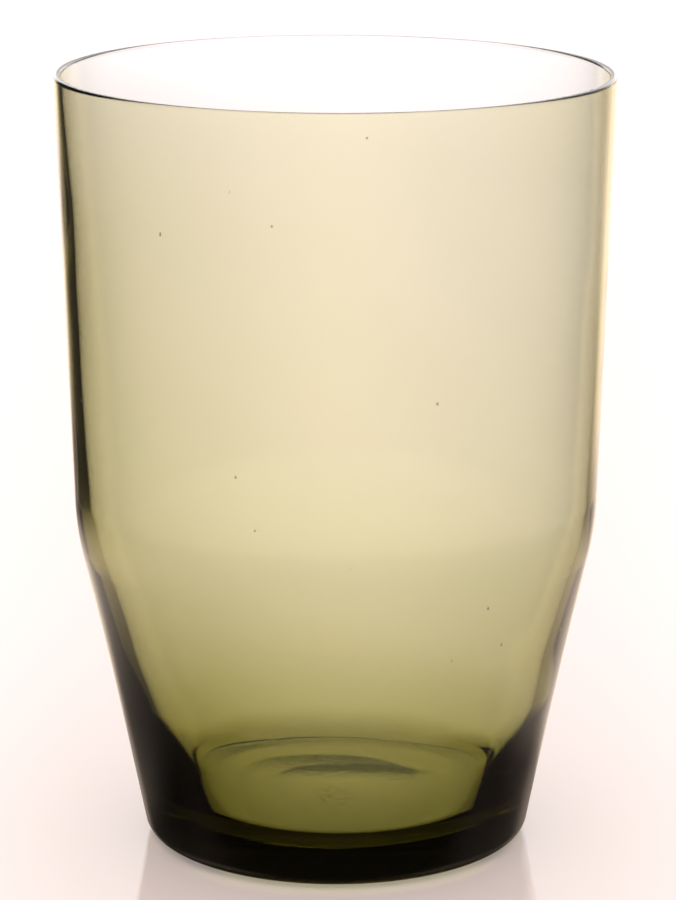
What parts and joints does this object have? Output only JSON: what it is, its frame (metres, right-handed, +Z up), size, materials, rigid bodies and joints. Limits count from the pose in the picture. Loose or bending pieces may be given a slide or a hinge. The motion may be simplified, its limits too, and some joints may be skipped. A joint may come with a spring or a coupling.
{
  "type": "iced tea glass",
  "caption": "Blown drinking glass with a thin upright upper wall, a soft shoulder, a tapered lower wall and a heavy base with a shallow dish ground under it.",
  "frame": {"origin": "centre of the base, in the plane the glass rests on", "axes": "+Z up along the axis of the glass, towards the rim; X and Y are any two level directions, since the glass is round"},
  "size_m": [0.0848, 0.0848, 0.12],
  "materials": {
    "olive_glass": "clear olive-green glass tinted through its thickness, fire-polished rim and walls, fine scratches in the floor, ground dish and worn ring underneath"
  },
  "bodies": {
    "root": {"glass_tumbler": "olive_glass"}
  },
  "joints": []
}
